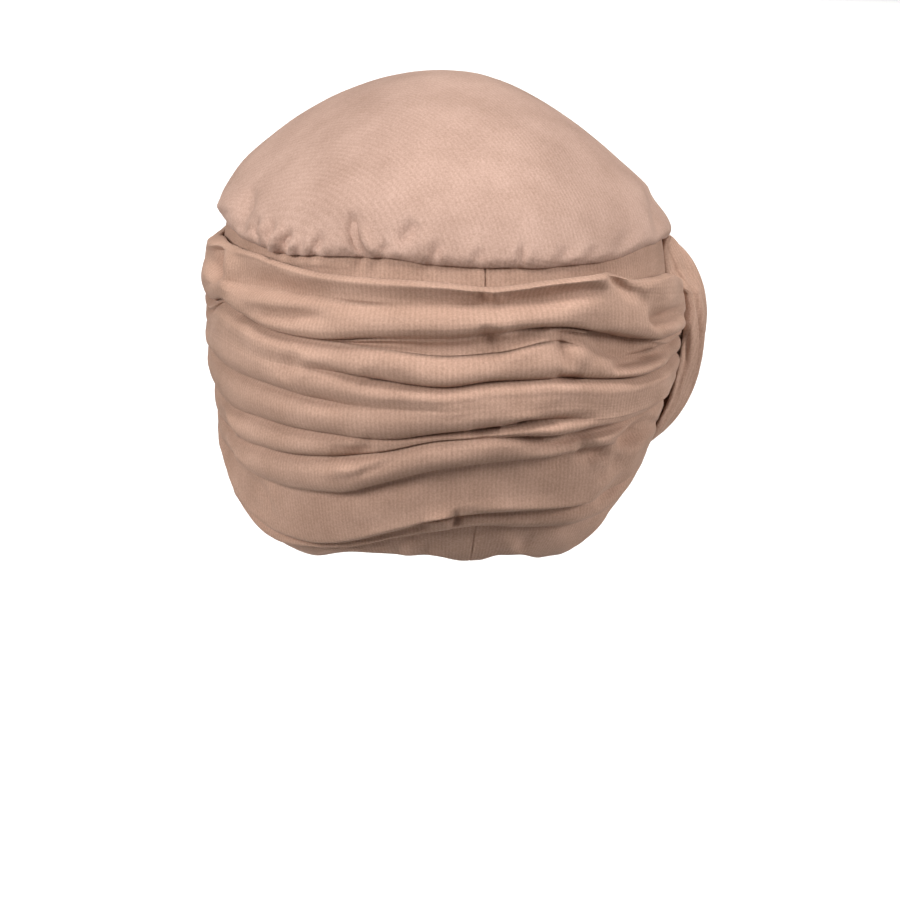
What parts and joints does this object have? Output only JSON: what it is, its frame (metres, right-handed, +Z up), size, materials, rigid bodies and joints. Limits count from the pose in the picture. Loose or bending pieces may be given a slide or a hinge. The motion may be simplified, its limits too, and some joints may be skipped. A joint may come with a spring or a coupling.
{
  "type": "turban headwrap",
  "caption": "Pre-tied jersey head wrap: a smooth domed crown on a side band, wound in horizontal rolls that a gathered knot band pinches together over one ear.",
  "frame": {"origin": "middle of the wearer's head at the hat line, where the headwrap sits at its largest circumference", "axes": "+Z up through the top of the crown, -Y the way the wearer looks, +X the wearer's left, so the knot band is on -X"},
  "size_m": [0.1918, 0.2172, 0.1722],
  "materials": {
    "crown_jersey": "fine single jersey, matt, taupe brown, smooth with faint knit lines",
    "band_jersey": "fine single jersey, matt, taupe brown, with one seam at the middle of the back",
    "wrap_jersey": "fine single jersey, matt, taupe brown, gathered in soft rolls",
    "knot_jersey": "fine single jersey, matt, taupe brown, gathered lengthwise"
  },
  "bodies": {
    "root": {"crown": "crown_jersey", "side_band": "band_jersey", "wrap": "wrap_jersey", "knot_band": "knot_jersey"}
  },
  "joints": []
}
